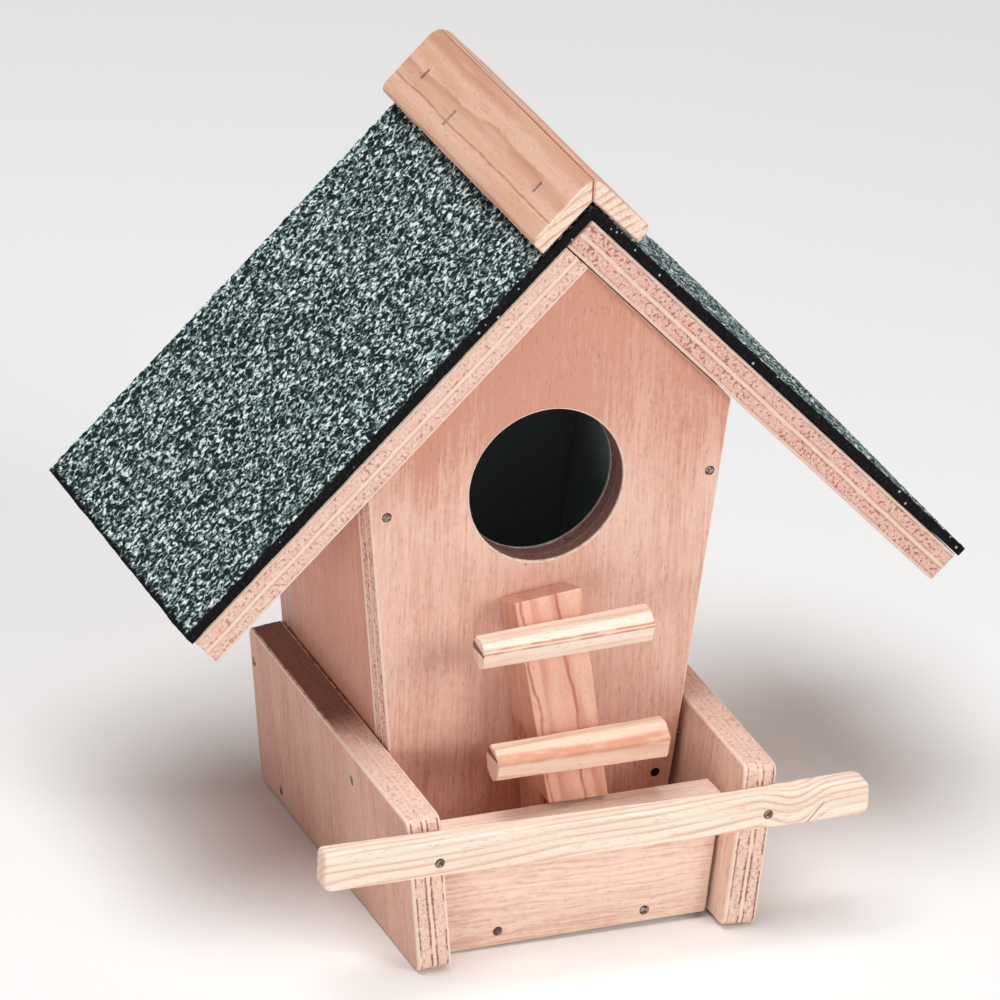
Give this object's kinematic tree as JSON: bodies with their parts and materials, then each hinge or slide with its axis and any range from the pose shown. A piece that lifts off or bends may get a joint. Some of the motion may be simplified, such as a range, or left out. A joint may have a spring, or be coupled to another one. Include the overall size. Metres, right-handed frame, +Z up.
{
  "type": "birdhouse",
  "caption": "Small plywood birdhouse with tapered body, round entrance, felted pitched roof with pine ridge caps, feeding tray, perch bar and rungs.",
  "frame": {"origin": "bottom centre of the object's box, on the surface it stands on", "axes": "+X to the viewer's right across the front, +Y from the front to the back, +Z up; the entrance faces -Y"},
  "size_m": [0.2132, 0.1478, 0.1959],
  "materials": {
    "plywood": "bare rotary-cut plywood, five plies, lightly sanded",
    "pale_pine": "bare planed pine with open grain",
    "post_pine": "bare pine with strong grain",
    "ridge_pine": "bare pine, planed and slightly weathered",
    "roofing_felt": "bitumen sheet with green mineral granules",
    "nail_steel": "dull dark wire nails",
    "staple_steel": "dull dark staples"
  },
  "bodies": {
    "root": {"back_nail_1": "nail_steel", "back_nail_2": "nail_steel", "back_nail_3": "nail_steel", "back_nail_4": "nail_steel", "back_panel": "plywood", "cap_staple_left_1": "staple_steel", "cap_staple_left_2": "staple_steel", "cap_staple_left_3": "staple_steel", "cap_staple_right_1": "staple_steel", "cap_staple_right_2": "staple_steel", "cap_staple_right_3": "staple_steel", "floor_board": "plywood", "front_nail_1": "nail_steel", "front_nail_2": "nail_steel", "front_nail_3": "nail_steel", "front_nail_4": "nail_steel", "front_panel": "plywood", "ladder_post": "post_pine", "lip_nail_1": "nail_steel", "lip_nail_2": "nail_steel", "perch_bar": "pale_pine", "perch_nail_1": "nail_steel", "perch_nail_2": "nail_steel", "ridge_cap_left": "ridge_pine", "ridge_cap_right": "ridge_pine", "ridge_nail_1": "nail_steel", "ridge_nail_2": "nail_steel", "roof_felt": "roofing_felt", "roof_nail_left_1": "nail_steel", "roof_nail_left_2": "nail_steel", "roof_nail_right_1": "nail_steel", "roof_nail_right_2": "nail_steel", "roof_panel_left": "plywood", "roof_panel_right": "plywood", "rung_lower": "pale_pine", "rung_upper": "pale_pine", "side_wall_left": "plywood", "side_wall_right": "plywood", "tray_lip": "plywood", "tray_nail_left_1": "nail_steel", "tray_nail_left_2": "nail_steel", "tray_nail_left_3": "nail_steel", "tray_nail_right_1": "nail_steel", "tray_nail_right_2": "nail_steel", "tray_nail_right_3": "nail_steel", "tray_side_left": "plywood", "tray_side_right": "plywood"}
  },
  "joints": []
}
